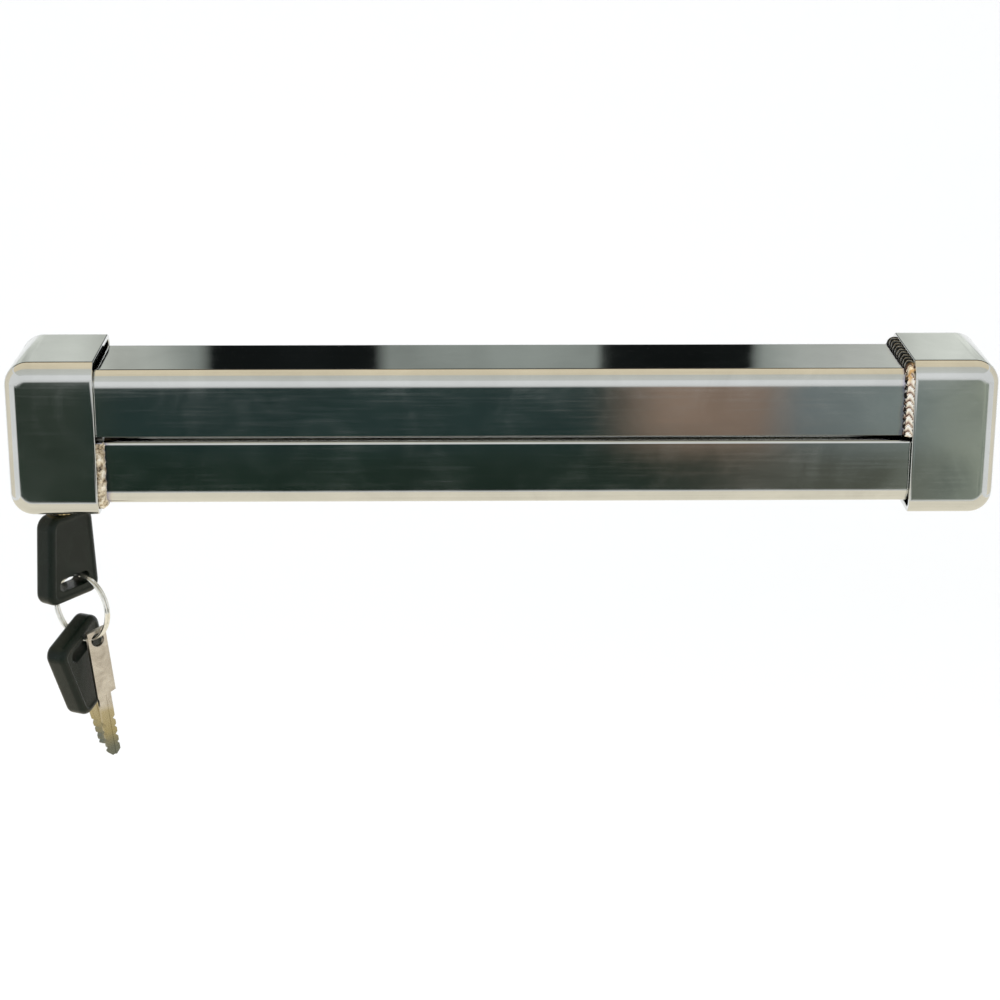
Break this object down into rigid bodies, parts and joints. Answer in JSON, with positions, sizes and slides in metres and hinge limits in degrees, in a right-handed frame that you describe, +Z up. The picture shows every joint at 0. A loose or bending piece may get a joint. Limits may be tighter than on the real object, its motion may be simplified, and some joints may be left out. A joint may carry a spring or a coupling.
{
  "type": "outboard motor clamp lock",
  "caption": "Two-part stainless bar that slides together over a motor's clamp handles, with a cam lock in one end box, keys and a split ring",
  "frame": {"origin": "Centre of the lock's rear plane, mid length and mid height, in the middle of the slot that the clamp screws pass through", "axes": "+X along the bar towards the right end box as seen from the front, +Y from the closed front to the slotted back, towards the motor, +Z up"},
  "size_m": [0.365, 0.051, 0.1653],
  "materials": {
    "polished_stainless": "mirror polished, with fine polishing lines",
    "ground_weld": "weld ground back, pale and rough",
    "rippled_weld": "rippled weld with straw and purple heat tint",
    "brass": "machined brass, slightly tarnished",
    "plain_steel": "zinc-plated steel",
    "key_metal": "nickel-plated brass, worn",
    "key_plastic": "black moulded plastic with a fine grain",
    "ring_steel": "bright nickel-plated spring wire"
  },
  "bodies": {
    "lower_half": {"left_end_box": "polished_stainless", "lower_channel": "polished_stainless", "left_weld_bead": "ground_weld", "lock_housing": "brass", "spur_washer": "plain_steel", "housing_nut": "brass"},
    "upper_half": {"right_end_box": "polished_stainless", "upper_channel": "polished_stainless", "right_weld_bead": "rippled_weld", "keeper_bar": "plain_steel", "keeper_weld": "rippled_weld"},
    "plug": {"lock_plug": "brass", "wafers": "brass", "wafer_springs": "plain_steel", "stop_washer": "plain_steel", "cam": "plain_steel", "cam_washer": "plain_steel", "cam_screw": "plain_steel"},
    "key_a": {"key_a_blade": "key_metal", "key_a_head": "key_plastic"},
    "key_ring": {"split_ring": "ring_steel"},
    "key_b": {"key_b_blade": "key_metal", "key_b_head": "key_plastic"},
    "key_c": {"bare_key": "key_metal"}
  },
  "joints": [
    {"name": "draw_apart", "type": "slide", "parent": "lower_half", "child": "upper_half", "axis": [1, 0, 0], "range_m": [0, 0.032]},
    {"name": "plug_turn", "type": "hinge", "parent": "lower_half", "child": "plug", "pos_m": [-0.1667, -0.0255, -0.02], "axis": [0, 0, -1], "range_deg": [0, 90]},
    {"name": "key_withdraw", "type": "slide", "parent": "plug", "child": "key_a", "axis": [0, 0, -1], "range_m": [0, 0.026]},
    {"name": "ring_swing", "type": "hinge", "parent": "key_a", "child": "key_ring", "pos_m": [-0.16879, -0.02093, -0.0638], "axis": [0.5635, 0.8261, 0], "range_deg": [0, 12]},
    {"name": "key_b_swing", "type": "hinge", "parent": "key_ring", "child": "key_b", "pos_m": [-0.16276, -0.02504, -0.08681], "axis": [0.9041, -0.4274, 0], "range_deg": [-10, 10]},
    {"name": "key_c_swing", "type": "hinge", "parent": "key_ring", "child": "key_c", "pos_m": [-0.15615, -0.02955, -0.08496], "axis": [0.5736, -0.8192, 0], "range_deg": [-8, 8]}
  ]
}
